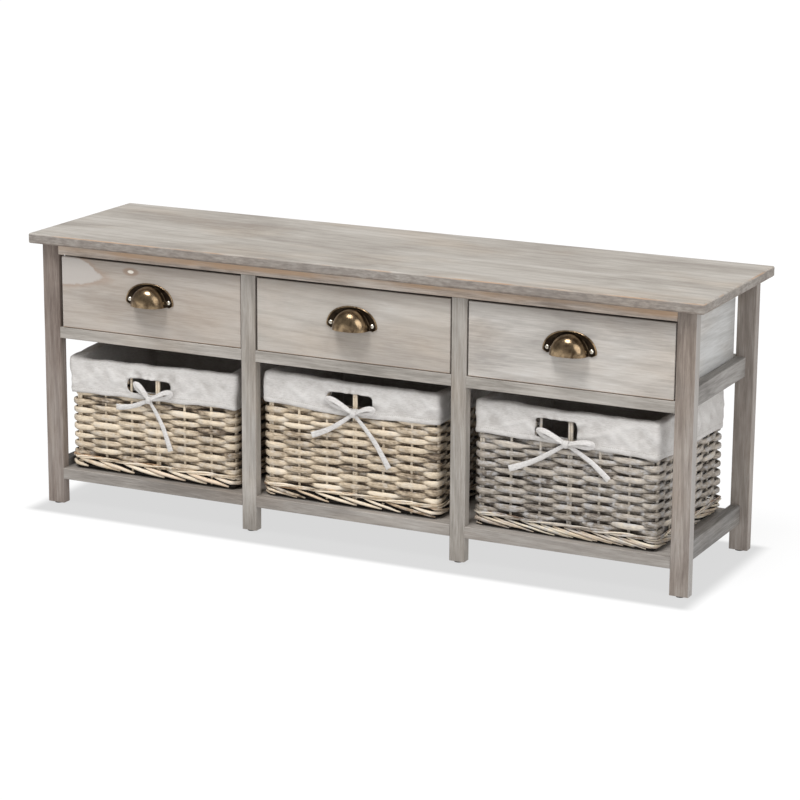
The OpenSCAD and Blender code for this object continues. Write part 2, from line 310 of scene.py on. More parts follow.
RAIL = (rgb(134, 129, 122), rgb(168, 162, 155), rgb(186, 182, 176))
LOW = (rgb(122, 116, 110), rgb(153, 147, 141), rgb(174, 169, 163))
SIDE = (rgb(114, 110, 106), rgb(149, 145, 141), rgb(174, 171, 167))
SHADE = (rgb(93, 89, 86), rgb(124, 121, 118), rgb(149, 147, 144))
DARK = (rgb(94, 82, 75), rgb(128, 116, 108), rgb(150, 141, 134))
TOPRAIL = (rgb(148, 136, 126), rgb(190, 178, 167), rgb(210, 202, 193))
CORNER = (rgb(112, 102, 95), rgb(146, 137, 130), rgb(168, 161, 154))
POST = (rgb(122, 116, 109), rgb(154, 148, 141), rgb(176, 171, 165))
FRONT = (rgb(150, 141, 132), rgb(177, 169, 161), rgb(192, 187, 180))
PALE = (rgb(152, 145, 138), rgb(179, 172, 164), rgb(196, 192, 186))
WHITE = (rgb(160, 155, 150), rgb(188, 183, 177), rgb(204, 201, 197))
INNER = (rgb(161, 160, 157), rgb(189, 188, 186), rgb(205, 205, 204))
RAW = (rgb(84, 68, 56), rgb(112, 92, 76), rgb(132, 110, 92))
TOP = (rgb(144, 137, 130), rgb(168, 162, 154), rgb(186, 181, 174))

woods = {
    "top": wood("wood_top", "x", *TOP, 0.3, 1.1, top_extra),
    "rail_top": wood("wood_top_rail", "x", *TOPRAIL, 0.9, 1.2, rail_extra),
    "rail_mid": wood("wood_mid_rail", "x", *RAIL, 1.7),
    "rail_low": wood("wood_low_rail", "x", *LOW, 2.3),
    "rail_side": wood("wood_side_rail", "y", *SIDE, 2.1),
    "rail_side_low": wood("wood_low_side_rail", "y", *SHADE, 3.1),
    "corner": wood("wood_corner_leg", "z", *CORNER, 2.9, 1.0, corner_painted_light),
    "corner_left": wood("wood_left_corner_leg", "z", *DARK, 1.9, 1.0, corner_painted_light),
    "post": wood("wood_post", "z", *POST, 3.4),
    "front_left": wood("wood_front_left", "x", *FRONT, 4.1, 0.6, left_front_extra, QUIET),
    "front_centre": wood("wood_front_centre", "x", *PALE, 5.3, 0.62, front_extra, QUIET),
    "front_right": wood("wood_front_right", "x", *WHITE, 6.7, 0.9, front_extra, QUIET),
    "raw_x": wood("wood_raw_along", "x", *RAW, 7.1),
    "raw_y": wood("wood_raw_across", "y", *RAW, 8.8),
    "inner_x": wood("wood_inner_along", "x", *INNER, 7.9),
    "inner_y": wood("wood_inner_across", "y", *INNER, 8.3),
}


def paint(obj, mat):
    obj.data.materials.clear()
    obj.data.materials.append(mat)


WOOD_BY_NAME = {
    "top_board": "top", "front_top_rail": "rail_top", "shelf_board": "rail_low",
    "drawer_runners": "raw_y", "drawer_stops": "raw_x",
    **{side + "_drawer_front": "front_" + side for side in SIDES},
}
# otherwise the first of these words in the name decides
WOOD_BY_WORD = (
    ("post", "post"), ("drawer_left_side", "inner_y"), ("drawer_right_side", "inner_y"),
    ("drawer_bottom", "raw_x"), ("drawer_back", "inner_x"), ("side_bottom", "rail_side_low"),
    ("side_", "rail_side"), ("divider_", "rail_side"), ("bottom_rail", "rail_low"),
    ("_rail", "rail_mid"),
)


def wood_for(name):
    """The wood of a CAD node, or None for a piece that is not wood."""
    if name.endswith("leg"):
        return woods["corner_left" if "left" in name else "corner"]
    if name in WOOD_BY_NAME:
        return woods[WOOD_BY_NAME[name]]
    for word, key in WOOD_BY_WORD:
        if word in name:
            return woods[key]
    return None


for name, obj in nodes.items():
    mat = wood_for(name)
    if mat:
        paint(obj, mat)


def plastic(name, colour):
    """Fine-grained matt plastic."""
    n = Nodes(name)
    grit = n.noise(n.coords(), 900, 3.0)
    darker = tuple(c * 0.8 for c in colour[:3]) + (1,)
    n.surface(Base_Color=n.ramp(grit, (0.3, darker), (0.7, colour)),
              Roughness=n.ramp(grit, (0.3, 0.5), (0.7, 0.7)))
    n.bump(grit, 0.1, 0.0002)
    return n.mat


paint(nodes["floor_glides"], plastic("glide_plastic", rgb(60, 56, 54)))


# ---- mesh helpers

def wobble(x, y, z):
    """Smooth noise at a place, about -1 to 1."""
    return noise.noise(Vector((x, y, z)))


def bridge(faces, a, b, count):
    """Adds a band of quads between two closed rings of vertices that start at a and b."""
    for i in range(count):
        i2 = (i + 1) % count
        faces.append((a + i, a + i2, b + i2, b + i))


def new_mesh(name, verts, faces, attributes=None, smooth=True):
    """A linked mesh object; attributes are lists with one number per vertex."""
    me = bpy.data.meshes.new(name)
    me.from_pydata(verts, [], faces)
    for key, values in (attributes or {}).items():
        a = me.attributes.new(key, "FLOAT", "POINT")
        a.data.foreach_set("value", values)
    if smooth:
        me.polygons.foreach_set("use_smooth", [True] * len(me.polygons))
    me.update()
    obj = bpy.data.objects.new(name, me)
    scene.collection.objects.link(obj)
    return obj


def apply_modifiers(obj):
    """Bakes an object's modifiers into its mesh."""
    dg = bpy.context.evaluated_depsgraph_get()
    me = bpy.data.meshes.new_from_object(obj.evaluated_get(dg))
    obj.modifiers.clear()
    obj.data = me
    return obj


class Rods:
    """Collects swept rods into one mesh, with a tint and a redness for every rod."""

    def __init__(self, sections=8):
        self.verts, self.faces, self.tint, self.red = [], [], [], []
        self.k = sections

    def sweep(self, rings, closed=False, edge=0.0, red=0.0):
        """rings: (centre, side axis, up axis, half width, half height, tint) along the rod.

        edge paints shade along the rod's upper and lower edges, the lower one more."""
        k, first = self.k, len(self.verts)
        for c, a, b, wa, wb, tint in rings:
            for i in range(k):
                t = 2 * math.pi * i / k
                self.verts.append(c + a * (wa * math.cos(t)) + b * (wb * math.sin(t)))
                rise = math.sin(t)
                # painted shade: the tint drops along the rod's upper and lower edges
                self.tint.append(tint - edge * rise ** 4 * (0.6 if rise > 0 else 1.0))
                self.red.append(red)
        n = len(rings)
        for j in range(n if closed else n - 1):
            bridge(self.faces, first + j * k, first + ((j + 1) % n) * k, k)
        if not closed:
            self.faces.append(tuple(first + i for i in reversed(range(k))))
            last = first + (n - 1) * k
            self.faces.append(tuple(last + i for i in range(k)))

    def along(self, points, radius, tint, side=None, flat=1.0, red=0.0):
        """A round rod through points; its radius may be a function of the share of its length."""
        rings = []
        n = len(points)
        for j, p in enumerate(points):
            t = (points[min(j + 1, n - 1)] - points[max(j - 1, 0)]).normalized()
            s = side[j] if side else UP
            s = (s - t * s.dot(t)).normalized()
            r = radius(j / (n - 1)) if callable(radius) else radius
            rings.append((p, s, t.cross(s), r * flat, r, tint))
        self.sweep(rings, red=red)

    def build(self, name):
        return new_mesh(name, self.verts, self.faces, {"tint": self.tint, "red": self.red})


# ---- baskets

def outline(cx, cy, hx, hy, r):
    """A rounded rectangle walked from the left end of its front straight, towards +X.

    Returns its length and a function of (distance, outward offset) to (point, normal)."""
    sx, sy, arc = 2 * (hx - r), 2 * (hy - r), math.pi * r / 2
    parts = [sx, arc, sy, arc, sx, arc, sy, arc]
    total = sum(parts)
    corners = [(hx - r, -hy + r), (hx - r, hy - r), (-hx + r, hy - r), (-hx + r, -hy + r)]
    starts = [(-hx + r, -hy), (hx, -hy + r), (hx - r, hy), (-hx, hy - r)]
    dirs = [(1, 0), (0, 1), (-1, 0), (0, -1)]

    def at(s, out=0.0):
        s %= total
        for i, length in enumerate(parts):
            if s <= length or i == 7:
                break
            s -= length
        side = i // 2
        if i % 2 == 0:  # a straight
            (px, py), (dx, dy) = starts[side], dirs[side]
            nx, ny = dy, -dx
            x, y = px + dx * s, py + dy * s
        else:
            a = -math.pi / 2 + side * math.pi / 2 + s / r
            nx, ny = math.cos(a), math.sin(a)
            x, y = corners[side][0] + nx * r, corners[side][1] + ny * r
        return Vector((cx + x + nx * out, cy + y + ny * out, 0)), Vector((nx, ny, 0))

    return total, at


STAKES = 22
PITCH = 6.65 * MM  # height of one row of weavers
FOOT_TOP = 79 * MM
BEND = 4 * MM  # corner radius of a basket
PIECES = 5  # rods in one row of weavers
RINGS = 9  # rings of a weaver between two stakes
# from the CAD basket's sides in to the stakes and to the liner's skirt: along X and Y, in mm
STAKES_IN, SKIRT_IN = (11, 8), (8, 5)

# One entry per basket, in mm:
#   shift, slim: how far it stands along X, and how much narrower it is on each side
#   turn: degrees about its upright axis
#   wide, back: how much the liner's top is wider, and how its top and its hem rise to the back
#   phase: where the stakes start along the front
#   hole, round: the hand hole (x lo, x hi, z lo, z hi) and its corner radius
#   top, hem: heights of the liner's top and hem from left to right
#   rods: the foot's rods: step in stake gaps, shortest, longest, thinnest, fattest, paler by
#   tone, mixed: the mean tint of the weavers, and how much they differ
BASKETS = {
    "left": dict(
        shift=-1.0, slim=0, turn=0.0, wide=4, back=(9, 0), phase=3.3,
        hole=(-383, -308, 186, 209), round=9, top=(228, 231), hem=(176, 178, 180),
        rods=(0.84, 60, 72, 2.6, 3.5, 0.0), tone=0.5, mixed=0.12, seed=11),
    "centre": dict(
        shift=-2.5, slim=0, turn=0.0, wide=0, back=(0, 0), phase=2.4,
        hole=(-47, 28, 205, 227), round=10, top=(245, 240), hem=(200, 193, 197),
        rods=(0.82, 54, 78, 1.8, 2.7, -0.12), tone=0.53, mixed=0.13, seed=23),
    "right": dict(
        shift=0.2, slim=1.2, turn=-2.0, wide=0, back=(0, -6), phase=1.7,
        hole=(285, 349, 199, 227), round=5, top=(241, 240), hem=(194, 192, 189),
        rods=(0.42, 62, 82, 1.6, 2.3, 0.22), tone=0.53, mixed=0.09, seed=37),
}


def wave(x, sharp=0.75):
    """A sine with fuller crests."""
    v = math.sin(x)
    return math.copysign(abs(v) ** sharp, v)


def lerp3(vals, t):
    """Reads two or three values, spread evenly from left to right, at t from 0 to 1."""
    if len(vals) == 2:
        return vals[0] + (vals[1] - vals[0]) * t
    if t < 0.5:
        return vals[0] + (vals[1] - vals[0]) * t * 2
    return vals[1] + (vals[2] - vals[1]) * (t - 0.5) * 2


def stand_askew(obj, side):
    """Turns a basket's piece about the basket's upright axis, the way it stands in its bay."""
    lo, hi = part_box(side + "_basket")
    middle = Matrix.Translation(((lo.x + hi.x) / 2, (lo.y + hi.y) / 2, 0))
    turn = Matrix.Rotation(math.radians(BASKETS[side]["turn"]), 4, "Z")
    obj.data.transform(middle @ turn @ middle.inverted())
    return obj


def wicker_basket(side):
    """Rows of weavers in and out of upright stakes, on a foot border, with a woven floor."""
    spec = BASKETS[side]
    seed, rnd = spec["seed"], random.Random(spec["seed"])
    lo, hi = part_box(side + "_basket")
    cx, cy = (lo.x + hi.x) / 2 + spec["shift"] * MM, (lo.y + hi.y) / 2
    hx = (hi.x - lo.x) / 2 - (STAKES_IN[0] + spec["slim"]) * MM
    hy = (hi.y - lo.y) / 2 - STAKES_IN[1] * MM
    total, at = outline(cx, cy, hx, hy, BEND)
    gap = total / STAKES
    phase = spec["phase"] * MM
    x0, x1, z0, z1 = (v * MM for v in spec["hole"])
    s0, s1 = (x - (cx - hx + BEND) for x in (x0, x1))
    rods = Rods(8)
    rim = hi.z - 3 * MM
    for row in range(int((rim - FOOT_TOP - 2 * MM) / PITCH)):
        z = FOOT_TOP + 3 * MM + row * PITCH
        turn = rnd.random() * total
        tints = [rnd.gauss(spec["tone"], spec["mixed"]) for _ in range(PIECES)]
        fats = [1 + rnd.gauss(0, 0.07) for _ in range(PIECES)]
        cut = z0 - 3 * MM < z < z1 + 3 * MM
        first, last = (s1, s0 + total) if cut else (0.0, total)
        steps = max(2, round((last - first) / total * STAKES * RINGS))
        rings = []
        for j in range(steps + (1 if cut else 0)):
            s = first + (last - first) * j / steps
            w = wave(math.pi * ((s - phase) / gap + row) + math.pi / 2, 0.5)
            piece = ((s + turn) % total) / total * PIECES
            i = int(piece)
            tint = tints[i] + 0.10 * wobble(s * 25, row * 3.1, seed)
            thin_end = 0.82 + 0.18 * min(1.0, (piece - i) * 9, (i + 1 - piece) * 9)
            fat = fats[i] * (1 + 0.12 * wobble(s * 14, row * 5.7, 2.0)) * thin_end
            p, nrm = at(s, 3.3 * MM * w + 0.35 * MM * wobble(s * 30, row * 1.9, 7.0))
            # the rods under the liner's skirt lie further in
            hem = lerp3(spec["hem"], (p.x - cx + hx) / (2 * hx)) * MM
            p -= nrm * (4.2 * MM * min(1.0, max(0.0, (z - hem + 9 * MM) / (5 * MM))))
            p.z = z + 0.9 * MM * wobble(s * 9, row * 0.9, seed + 3.0)
            high = (3.3 + (1.5 if w > 0 else 1.1) * abs(w)) * MM * fat
            # painted shade: a rod is darker where it passes behind a stake, and along its upper
            # and lower edges
            rings.append((p, nrm, UP, 2.1 * MM * fat, high, tint - 0.22 * max(0.0, -w)))
        rods.sweep(rings, closed=not cut, edge=0.22)
    for k in range(STAKES):
        for beside in ((-1.9, 1.9) if k % 3 == 0 else (0.0,)):
            points, norms = [], []
            for j in range(14):
                s = phase + k * gap + (beside + 0.5 * wobble(k * 3.7, j * 0.4, 1.0)) * MM
                p, nrm = at(s, -0.6 * MM)
                p.z = lo.z + 3 * MM + (rim - lo.z - 5 * MM) * j / 13
                points.append(p)
                norms.append(nrm)
            rods.along(points, 2.0 * MM, 0.66 + 0.1 * rnd.random(), norms)
    foot_border(rods, at, total, gap, phase, lo.z, rnd, spec["rods"])
    basket_floor(rods, lo, hi, rnd)
    return stand_askew(rods.build(side + "_wicker"), side)


def lying_rod(rods, at, s, length, steps, out, height, radius, tint, red):
    """A rod along the outline; out, height and radius are functions of the share of its length."""
    points, norms = [], []
    for j in range(steps + 1):
        p, nrm = at(s + length * j / steps, out(j / steps))
        p.z = height(j / steps)
        points.append(p)
        norms.append(nrm)
    rods.along(points, radius, tint, norms, red=red)


def foot_border(rods, at, total, gap, phase, floor_z, rnd, style):
    """The border the basket stands on: long rods that slant down from a thin twisted band."""
    steps = STAKES * 8
    step, shortest, longest, thin, thick, lift = style
    for strand in range(3):
        rings = []
        for j in range(steps):
            s = total * j / steps
            a = 2 * math.pi * (s / (gap * 2.2)) + strand * 2 * math.pi / 3
            p, nrm = at(s, (5.8 + 1.1 * math.cos(a)) * MM)
            rise = 19.2 + 1.7 * math.sin(a) + 1.2 * wobble(s * 20, strand * 4.0, 5.0)
            p.z = floor_z + rise * MM
            tint = (0.80, 0.36, 0.62)[strand] + 0.12 * math.sin(s * 31 + strand)
            rings.append((p, nrm, UP, 1.2 * MM, 1.3 * MM, tint))
        rods.sweep(rings, closed=True)
    # the slanting rods
    for k in range(round(STAKES / step)):
        s = phase + k * gap * step + rnd.uniform(-4, 4) * MM
        length = rnd.uniform(shortest, longest) * MM
        fat = rnd.uniform(thin, thick)
        high, low = rnd.uniform(15.0, 17.5), fat + 0.6 + rnd.uniform(0, 1)
        tint = rnd.choice((0.95, 0.84, 0.72, 0.6, 0.48)) + lift
        lying_rod(
            rods, at, s, length, 10,
            lambda t: (3.4 + 1.6 * math.sin(math.pi * min(1, t * 1.25))) * MM,
            lambda t: floor_z + (high - (high - low) * t ** 0.85
                                 + 0.7 * wobble(s * 50, t * 3, 1.0)) * MM,
            lambda t: fat * MM * (1 - 0.45 * abs(2 * t - 0.9) ** 2.5),
            tint, rnd.choice((0.0, 0.0, 0.15, 0.35)))
    # long reddish twigs over them
    for k in range(STAKES // 2):
        s = phase + 2 * k * gap + rnd.uniform(-14, 14) * MM
        length, top, drop = rnd.uniform(90, 150) * MM, rnd.uniform(19, 23), rnd.uniform(1, 8)
        lying_rod(
            rods, at, s, length, 14,
            lambda t: (4.6 + 1.6 * math.sin(math.pi * t)) * MM,
            lambda t: floor_z + (top - drop * t + 1.5 * wobble(s * 30 + 4 * t, k, 2.0)) * MM,
            lambda t: (1.5 - 0.6 * t) * MM,
            rnd.choice((0.35, 0.45, 0.6)), rnd.choice((0.6, 1.0)))
    # rows behind, tinted near black as painted shade
    for row in range(3):
        rings = []
        for j in range(steps):
            s = total * j / steps
            w = wave(math.pi * ((s - phase) / gap + row) + math.pi / 2)
            p, nrm = at(s, -0.8 * MM + 1.0 * MM * w)
            p.z = floor_z + (3.6 + 5.6 * row) * MM
            rings.append((p, nrm, UP, 1.8 * MM, 2.9 * MM, -0.5))
        rods.sweep(rings, closed=True)


def basket_floor(rods, lo, hi, rnd):
    """A woven floor: rods across, and others over and under them."""
    inset, pitch, across = 13 * MM, 7.5 * MM, 9
    z = lo.z + 4.6 * MM
    x0, x1 = lo.x + inset, hi.x - inset
    y0, y1 = lo.y + inset, hi.y - inset
    for i in range(across):
        x = x0 + (x1 - x0) * (i + 0.5) / across
        points = [Vector((x, y0 + (y1 - y0) * j / 6, z)) for j in range(7)]
        rods.along(points, 1.9 * MM, 0.6, [UP] * 7)
    for row in range(int((y1 - y0) / pitch)):
        y = y0 + 4 * MM + row * pitch
        points = []
        for j in range(across * 5 + 1):
            t = j / (across * 5)
            w = math.cos(math.pi * (t * across - 0.5 + row))
            points.append(Vector((x0 + (x1 - x0) * t, y, z + 1.5 * MM * w)))
        rods.along(points, 2.6 * MM, rnd.gauss(0.5, 0.12), [UP] * len(points), 0.62)


REDDISH = (0.78, 0.60, 0.48, 1)


def wicker_material(name, stops, silver, amount):
    """Dried willow: a colour for every rod, mottled along it, with silvery weathered patches."""
    n = Nodes(name)
    tint = n.attribute("tint")
    mottle = n.noise(n.coords(), 150, 3.0, 0.6)
    fibre = n.noise(n.coords((0.15, 0.15, 1)), 620, 4.0, 0.65)
    fac = n.math("ADD", tint, n.math("MULTIPLY", n.math("SUBTRACT", mottle, 0.5), 0.40))
    fac = n.math("ADD", fac, n.math("MULTIPLY", n.math("SUBTRACT", fibre, 0.5), 0.9))
    colour = n.ramp(fac, *stops)
    colour = n.mix(n.attribute("red"), colour, n.mix(1.0, colour, REDDISH, "MULTIPLY"))
    grey = n.noise(n.coords((1, 1, 1.6), (3, 1, 2)), 85, 4.0, 0.65)
    grey = n.ramp(grey, (0.50, 0.0), (0.62, 1.0))
    lit = n.step(tint, 0.16, 0.34)
    colour = n.mix(n.math("MULTIPLY", n.math("MULTIPLY", grey, lit), amount), colour, silver)
    n.surface(Base_Color=colour, Roughness=n.ramp(fibre, (0.3, 0.5), (0.7, 0.68)),
              Specular_IOR_Level=0.35)
    n.bump(fibre, 0.4, 0.0004)
    return n.mat


TAN_WICKER = wicker_material(
    "wicker_tan",
    ((0.0, rgb(26, 19, 15)), (0.2, rgb(100, 85, 70)), (0.40, rgb(176, 159, 136)),
     (0.64, rgb(218, 202, 178)), (0.95, rgb(236, 222, 202))), rgb(204, 199, 192), 0.4)
GREY_WICKER = wicker_material(
    "wicker_grey",
    ((0.0, rgb(24, 18, 15)), (0.2, rgb(84, 75, 68)), (0.42, rgb(148, 139, 128)),
     (0.66, rgb(188, 179, 168)), (0.95, rgb(222, 210, 188))), rgb(188, 188, 190), 0.55)


# ---- liners

def hole_distance(x, z, hole, r):
    """Signed distance from a rounded rectangle, in mm, negative inside."""
    x0, x1, z0, z1 = hole
    dx = abs(x - (x0 + x1) / 2) - (x1 - x0) / 2 + r
    dz = abs(z - (z0 + z1) / 2) - (z1 - z0) / 2 + r
    outside = math.hypot(max(dx, 0), max(dz, 0))
    return outside + min(max(dx, dz), 0) - r


def to_outline(x, z, hole, r):
    """The nearest point of the rounded rectangle's edge."""
    e = 0.05
    d = hole_distance(x, z, hole, r)
    gx = (hole_distance(x + e, z, hole, r) - d) / e
    gz = (hole_distance(x, z + e, hole, r) - d) / e
    m = math.hypot(gx, gz) or 1
    return x - d * gx / m, z - d * gz / m


def skirt(spec, cy, column, t, z):
    """How far the skirt stands off its outline, and the painted shade of its folds, t of the way
    down.
    """
    s, p, nrm, slow, ear = column[:5]
    seed, hole = spec["seed"], spec["hole"]
    fold = wobble(s * 20, z * 22, seed + 5.0)
    crease = wobble(s * 60 + z * 70, z * 34 - s * 24, seed + 9.0)
    ridge = max(0.0, 1 - 3.2 * abs(wobble(s * 24 - z * 30, z * 16 + s * 9, seed + 2.0))) ** 2
    puff = math.sin(math.pi * t) ** 0.6
    out = max(-0.6, puff * (2.1 * (fold + 0.25) + 1.4 * crease + 1.5 * ridge - 0.4))
    out += 0.5 * (slow + 0.4) * t + 1.3 * ear - spec["wide"] * t * abs(nrm.x)
    # the painted shade of the folds, kept in the fold attribute
    shade = puff * (1.3 * fold + 1.6 * crease + 1.2 * ridge)
    if p.y < cy:
        # gathers that run out from the hand hole, its bound edge and the seam beside that
        far = hole_distance(p.x / MM, z / MM, hole, spec["round"])
        angle = math.atan2(z - (hole[2] + 3) * MM, p.x - (hole[0] + hole[1]) / 2 * MM)
        gather = math.exp(-max(far, 0.0) / 22) * puff
        gather *= math.sin(11 * angle + 3 * wobble(angle, seed, far / 30))
        bound = 0.9 * math.exp(-((far - 1.8) / 1.3) ** 2)
        seam = 0.8 * math.exp(-((far - 5.2) / 1.3) ** 2)
        out += 1.3 * gather + bound - seam
        shade += 1.2 * gather
    if t > 0.84:
        out += 0.7 * math.sin(math.pi * (t - 0.84) / 0.16) ** 0.7
    return out * MM, shade


def fit_hole(verts, faces, front, spec):
    """Moves the stepped edge of the hand hole onto its rounded outline."""
    used = {}
    for f in faces:
        for a, b in zip(f, f[1:] + f[:1]):
            key = (min(a, b), max(a, b))
            used[key] = used.get(key, 0) + 1
    for edge, count in used.items():
        for v in edge if count == 1 else ():
            q = verts[v]
            x, z = q.x / MM, q.z / MM
            if q.y < front and abs(hole_distance(x, z, spec["hole"], spec["round"])) < 4:
                x, z = to_outline(x, z, spec["hole"], spec["round"])
                q.x, q.z = x * MM, z * MM


def bag_bottom(verts, faces, count, cx, cy, z, seed):
    """Closes the bag inwards from its first ring of vertices."""
    rings, last = 10, 0
    for i in range(1, rings):
        t = 1 - i / rings
        base = len(verts)
        for j in range(count):
            q = Vector((cx + (verts[j].x - cx) * t, cy + (verts[j].y - cy) * t, 0))
            q.z = z + 0.8 * MM * wobble(q.x * 30, q.y * 30, seed)
            verts.append(q)
        bridge(faces, base, last, count)
        last = base
    faces.append(tuple(last + j for j in range(count)))


def liner(side):
    """A cotton bag inside the basket, folded over its rim into a hemmed skirt."""
    spec = BASKETS[side]
    seed = spec["seed"]
    lo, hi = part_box(side + "_basket")
    cx, cy = (lo.x + hi.x) / 2 + spec["shift"] * MM, (lo.y + hi.y) / 2
    hx = (hi.x - lo.x) / 2 + (spec["wide"] - spec["slim"] - SKIRT_IN[0]) * MM
    hy = (hi.y - lo.y) / 2 - SKIRT_IN[1] * MM
    inset = 13.2 * MM  # from the skirt in to the inner wall
    fold = 3 * MM  # height of the fold over the rim
    floor_z = lo.z + 9 * MM
    count = 360
    total, at = outline(cx, cy, hx, hy, 4.2 * MM)
    total_in, at_in = outline(cx, cy, hx - spec["wide"] * MM - inset, hy - inset, 3 * MM)
    columns = []
    for j in range(count):
        s = total * j / count
        p, nrm = at(s)
        across = min(1.0, max(0.0, (p.x - (cx - hx)) / (2 * hx)))
        deep = min(1.0, (p.y - cy + hy) / (70 * MM))
        slow = wobble(s * 13, seed, 8.0)
        ear = (max(0.0, 1 - abs(abs(p.x - cx) - hx) / (26 * MM))
               * max(0.0, 1 - abs(abs(p.y - cy) - hy) / (26 * MM)))
        top = lerp3(spec["top"], across) + spec["back"][0] * deep + 1.6 * ear + 0.9 * slow
        top += 2.4 * wobble(s * 16, seed, 0.3) + 1.3 * wobble(s * 48, seed, 1.7)
        hem = lerp3(spec["hem"], across) + spec["back"][1] * deep
        hem += 1.6 * wobble(s * 15, seed, 4.1) + 0.9 * wobble(s * 45, seed, 6.3)
        inner = at_in(total_in * j / count)[0]
        columns.append((s, p, nrm, slow, ear, inner, top * MM, hem * MM))
    # rows: up the inside wall, over the rim, down the outside skirt
    profile = [("in", t / 22) for t in range(23)]
    profile += [("over", t / 7) for t in range(1, 7)]
    profile += [("out", t / 22) for t in range(23)]
    verts, faces, hem_mm, run_mm, painted_fold_shade = [], [], [], [], []
    for kind, t in profile:
        for column in columns:
            s, p, nrm, _, _, inner, top, hem = column
            shade = 0.0
            if kind == "in":
                z = floor_z + (top - fold - floor_z) * t
                out = -inset + 0.7 * MM * wobble(s * 22, z * 14, seed)
            elif kind == "over":
                a = math.pi * (1 - t)
                z = top - fold + fold * math.sin(a)
                out = -6.45 * MM + 6.75 * MM * math.cos(a)
            else:
                z = top - fold + (hem - top + fold) * t
                out, shade = skirt(spec, cy, column, t, z)
            q = p + nrm * out if kind == "out" else inner.lerp(p, 1 + out / inset)
            q.z = z
            verts.append(q)
            hem_mm.append((z - hem) / MM if kind == "out" else 60.0)
            run_mm.append(s / MM)
            painted_fold_shade.append(shade)
    front = cy - hy * 0.8
    for i in range(len(profile) - 1):
        band = []
        bridge(band, i * count, (i + 1) * count, count)
        for quad in band:
            c = sum((verts[v] for v in quad), Vector()) / 4
            far = hole_distance(c.x / MM, c.z / MM, spec["hole"], spec["round"])
            if c.y >= front or far >= 0:
                faces.append(quad)
    fit_hole(verts, faces, front, spec)
    bag_bottom(verts, faces, count, cx, cy, floor_z + 1.0 * MM, seed)
    more = len(verts) - len(hem_mm)
    marks = {"hem": hem_mm + [60.0] * more, "run": run_mm + [0.0] * more,
             "fold": painted_fold_shade + [0.0] * more}
    obj = new_mesh(side + "_liner", verts, faces, marks)
    mod = obj.modifiers.new("cloth", "SOLIDIFY")
    mod.thickness = 1.0 * MM
    mod.offset = 0
    return stand_askew(apply_modifiers(obj), side)


STITCH_LO, STITCH_HI = 6.6, 8.4  # the hem's stitches run this far above its edge, in mm


def cloth_material(name, colour, shade):
    """Plain woven cotton with slubs, painted shade in its fold valleys, painted light on their
    crests, and a stitched hem.
    """
    n = Nodes(name)
    co = n.coords()
    threads = [n.node("TexWave", wave_type="BANDS", bands_direction=way, Vector=co,
                      Scale=420, Distortion=1.2, Detail=1).outputs["Fac"]
               for way in ("Z", "DIAGONAL")]
    weave = n.math("MULTIPLY", n.math("ADD", *threads), 0.5)
    slub = n.noise(n.coords((1, 1, 5)), 190, 3.0, 0.6)
    soft = n.noise(co, 26, 3.0, 0.55)
    fac = n.math("ADD", n.math("MULTIPLY", slub, 0.65), n.math("MULTIPLY", soft, 0.35))
    base = n.ramp(fac, (0.36, shade), (0.60, colour))
    # painted shade in the fold valleys and painted light on the crests
    fold = n.attribute("fold")
    valley_shade = n.drop(fold, -1.1, 0.0)
    crest_light = n.step(fold, 0.2, 1.4)
    base = n.mix(n.math("MULTIPLY", valley_shade, 0.30), base, rgb(150, 144, 138))
    base = n.mix(n.math("MULTIPLY", crest_light, 0.28), base, rgb(228, 226, 224))
    hem = n.attribute("hem")
    line = n.math("MULTIPLY", n.step(hem, STITCH_LO, STITCH_LO + 0.6),
                  n.drop(hem, STITCH_HI - 0.6, STITCH_HI))
    dash = n.step(n.math("SINE", n.math("MULTIPLY", n.attribute("run"), 2.1)), -0.4, 0.1)
    stitch = n.math("MULTIPLY", line, dash)
    base = n.mix(n.math("MULTIPLY", stitch, 0.35), base, rgb(150, 144, 134))
    n.surface(Base_Color=base, Roughness=0.9, Specular_IOR_Level=0.2, Sheen_Weight=0.25)
    height = n.math("ADD", weave, n.math("MULTIPLY", slub, 1.2))
    n.bump(n.math("SUBTRACT", height, n.math("MULTIPLY", line, 1.5)), 0.35, 0.0004)
    return n.mat


COTTON = cloth_material("liner_cotton", rgb(210, 207, 204), rgb(189, 185, 181))
RIBBON = cloth_material("bow_cotton", rgb(218, 215, 213), rgb(188, 184, 180))


# ---- bows

def smooth_path(points, per=8):
    """A Catmull-Rom curve through the points."""
    pts = [points[0]] + list(points) + [points[-1]]
    out = []
    for i in range(1, len(pts) - 2):
        p0, p1, p2, p3 = pts[i - 1], pts[i], pts[i + 1], pts[i + 2]
        for j in range(per):
            t = j / per
            out.append(0.5 * ((2 * p1) + (p2 - p0) * t + (2 * p0 - 5 * p1 + 4 * p2 - p3) * t * t
                              + (3 * p1 - p0 - 3 * p2 + p3) * t ** 3))
    out.append(pts[-2])
    return out


def tape(rods, points, faces_to, width, thick, seed):
    """A flat cotton tie along points; faces_to is the way its flat side looks."""
    path = smooth_path(points)
    rings = []
    n = len(path)
    for j, p in enumerate(path):
        t = (path[min(j + 1, n - 1)] - path[max(j - 1, 0)]).normalized()
        f = faces_to(j / (n - 1)) if callable(faces_to) else faces_to
        f = (f - t * f.dot(t)).normalized()
        w = width(j / (n - 1)) if callable(width) else width
        w *= 1 + 0.12 * wobble(j * 0.35, seed, 0.0)
        high = thick / 2 * (1 + 0.5 * wobble(j * 0.5, seed, 3.0))
        rings.append((p, t.cross(f), f, w / 2, high, 0.5))
    rods.sweep(rings)


# knot, ends of the left and right loop, ends of the left and right tail: x and z in mm
BOWS = {
    "left": ((-343, 179), (-366, 202), (-303, 194), (-399, 163), (-306, 105)),
    "centre": ((-1, 199), (-43, 217), (33, 208), (-68, 160), (57, 125)),
    "right": ((334, 195), (292, 210), (377, 199), (248, 149), (401, 153)),
}


